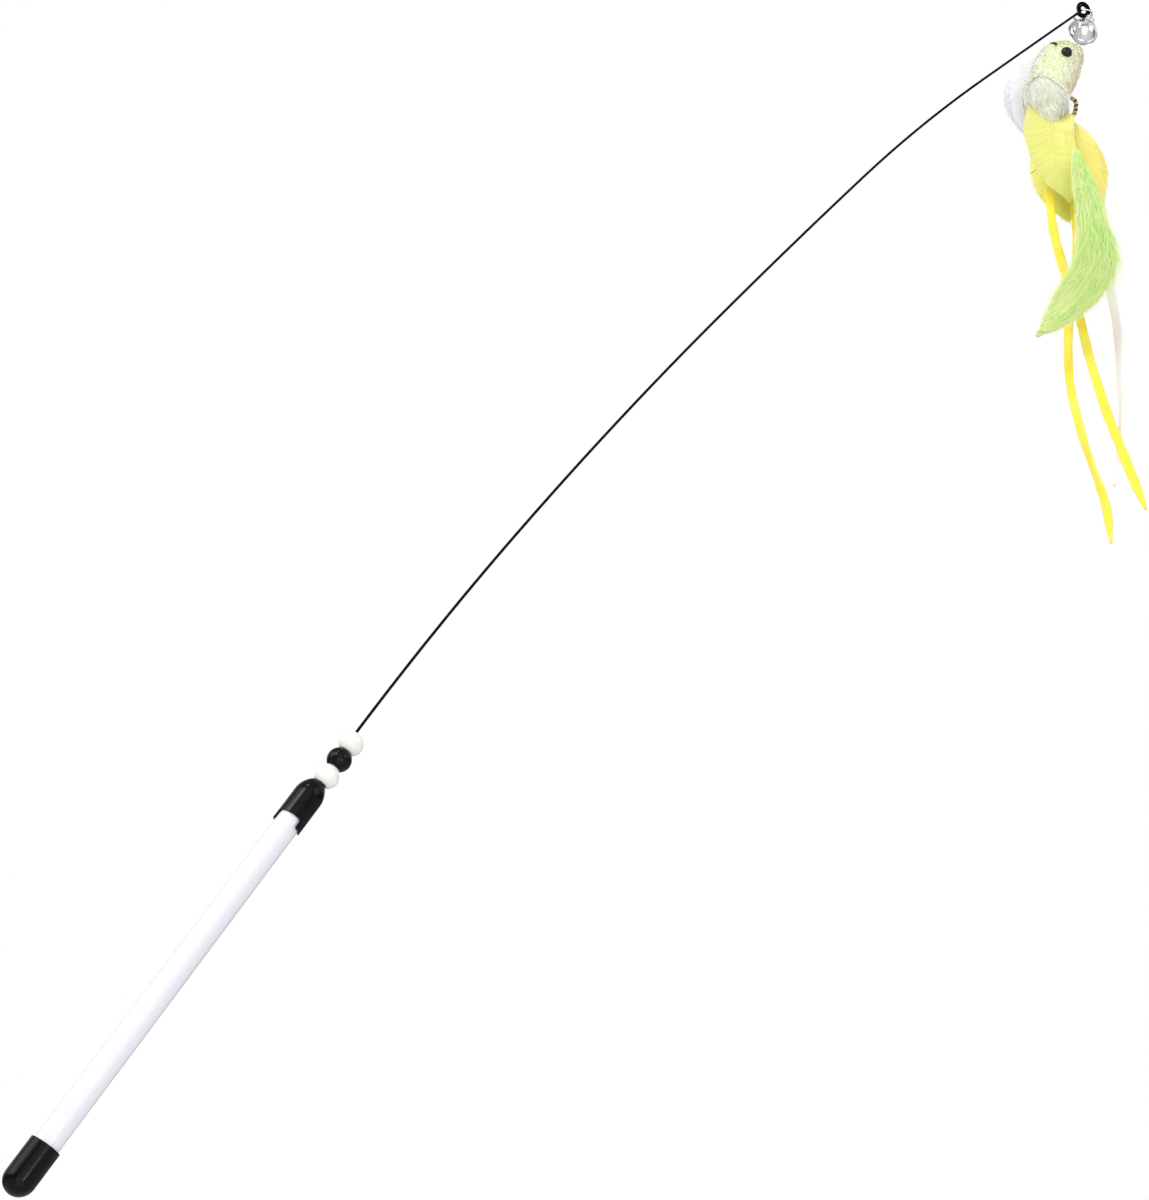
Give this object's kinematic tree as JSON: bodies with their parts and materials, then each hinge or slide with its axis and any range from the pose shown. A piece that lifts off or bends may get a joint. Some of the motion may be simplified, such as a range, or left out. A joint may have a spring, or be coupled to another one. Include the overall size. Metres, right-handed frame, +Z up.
{
  "type": "cat teaser wand",
  "caption": "Straight tube handle with end caps, a springy coated wire with loose beads, and a split ring carrying a bell and a plush bug with feathers and strips.",
  "frame": {"origin": "middle of the handle between the two cap ends, on its axis", "axes": "+X towards the side where the tip hangs, +Z up, the wand in the XZ plane, -Y towards the viewer"},
  "size_m": [0.4552, 0.0333, 0.5944],
  "materials": {
    "tube_plastic": "smooth near-white moulded plastic",
    "cap_plastic": "glossy black moulded plastic",
    "plug_plastic": "plain moulded plug",
    "crimp_steel": "pressed steel",
    "core_steel": "drawn spring steel",
    "wire_coat": "satin black coating",
    "milk_bead": "milky translucent bead",
    "black_bead": "glossy black bead",
    "silver_wire": "nickel-plated wire",
    "bell_sheet": "nickel-plated sheet",
    "pellet_steel": "steel ball",
    "green_plush": "short pile plush",
    "cream_plush": "pale fluffy pile",
    "eye_plastic": "glossy bead eye",
    "gold_cord": "twisted metallic cord",
    "white_down": "white feather",
    "pale_yellow_feather": "light yellow feather",
    "olive_feather": "olive yellow feather",
    "deep_yellow_feather": "deep yellow feather",
    "lime_plume": "lime marabou down",
    "yellow_strip": "thin foil-like strip",
    "white_strip_cloth": "thin white strip"
  },
  "bodies": {
    "handle": {"handle_tube": "tube_plastic", "bottom_cap": "cap_plastic", "top_cap": "cap_plastic", "anchor_plug": "plug_plastic", "wire_crimp": "crimp_steel", "wire_core_base": "core_steel", "wire_coat_base": "wire_coat"},
    "wire_bend": {"wire_core_bend": "core_steel", "wire_coat_bend": "wire_coat"},
    "wire_tip": {"wire_core_tip": "core_steel", "wire_coat_tip": "wire_coat", "tip_eye": "wire_coat"},
    "bead_low": {"lower_bead": "milk_bead"},
    "bead_mid": {"middle_bead": "black_bead"},
    "bead_high": {"upper_bead": "milk_bead"},
    "ring": {"jump_ring": "silver_wire"},
    "bell": {"bell_crown": "bell_sheet", "bell_skirt": "bell_sheet", "bell_loop": "silver_wire"},
    "pellet": {"bell_pellet": "pellet_steel"},
    "toy": {"toy_loop": "silver_wire", "plush_head": "green_plush", "plush_tuft": "cream_plush", "left_eye": "eye_plastic", "right_eye": "eye_plastic", "neck_cord": "gold_cord", "white_feather": "white_down", "front_feather": "pale_yellow_feather", "back_feather": "olive_feather", "side_feather": "deep_yellow_feather", "far_feather": "pale_yellow_feather"},
    "plume": {"green_plume": "lime_plume"},
    "strips": {"left_strip": "yellow_strip", "right_strip": "yellow_strip", "white_strip": "white_strip_cloth"}
  },
  "joints": [
    {"name": "wire_dip", "type": "hinge", "parent": "handle", "child": "wire_bend", "pos_m": [0.09588, 0, 0.15738], "axis": [0, 1, 0], "range_deg": [-30, 30], "stiffness_Nm_per_rad": 0.15, "springref_deg": -15.37},
    {"name": "wire_sway", "type": "hinge", "parent": "wire_bend", "child": "wire_tip", "pos_m": [0.11964, 0, 0.1925], "axis": [-0.8206, 0, 0.5715], "range_deg": [-30, 30], "stiffness_Nm_per_rad": 0.15, "springref_deg": -0.22},
    {"name": "bead_low_spin", "type": "hinge", "parent": "handle", "child": "bead_low", "pos_m": [0.04992, 0, 0.08107], "axis": [0.5135, 0, 0.8581], "continuous": true},
    {"name": "bead_mid_spin", "type": "hinge", "parent": "handle", "child": "bead_mid", "pos_m": [0.05413, 0, 0.08811], "axis": [0.5135, 0, 0.8581], "continuous": true},
    {"name": "bead_high_spin", "type": "hinge", "parent": "handle", "child": "bead_high", "pos_m": [0.05834, 0, 0.09514], "axis": [0.5135, 0, 0.8581], "continuous": true},
    {"name": "ring_swing", "type": "hinge", "parent": "wire_tip", "child": "ring", "pos_m": [0.39758, 0.00012, 0.51148], "axis": [-0.3339, 0.866, 0.3722], "range_deg": [-45, 5]},
    {"name": "bell_swing", "type": "hinge", "parent": "ring", "child": "bell", "pos_m": [0.39994, -0.00096, 0.50444], "axis": [0.5839, -0.2072, 0.785], "range_deg": [-40, 0]},
    {"name": "pellet_roll", "type": "hinge", "parent": "bell", "child": "pellet", "pos_m": [0.39813, 0.0084, 0.50492], "axis": [0, 1, 0], "range_deg": [-60, 60]},
    {"name": "toy_swing", "type": "hinge", "parent": "ring", "child": "toy", "pos_m": [0.39343, 0.00156, 0.50454], "axis": [0.5513, -0.2327, -0.8012], "range_deg": [-14, 12]},
    {"name": "plume_swing", "type": "hinge", "parent": "toy", "child": "plume", "pos_m": [0.37916, -0.00523, 0.43495], "axis": [0, 1, 0], "range_deg": [-5, 5]},
    {"name": "strips_swing", "type": "hinge", "parent": "toy", "child": "strips", "pos_m": [0.37366, 0.00302, 0.43605], "axis": [0, 1, 0], "range_deg": [-6, 6]}
  ]
}
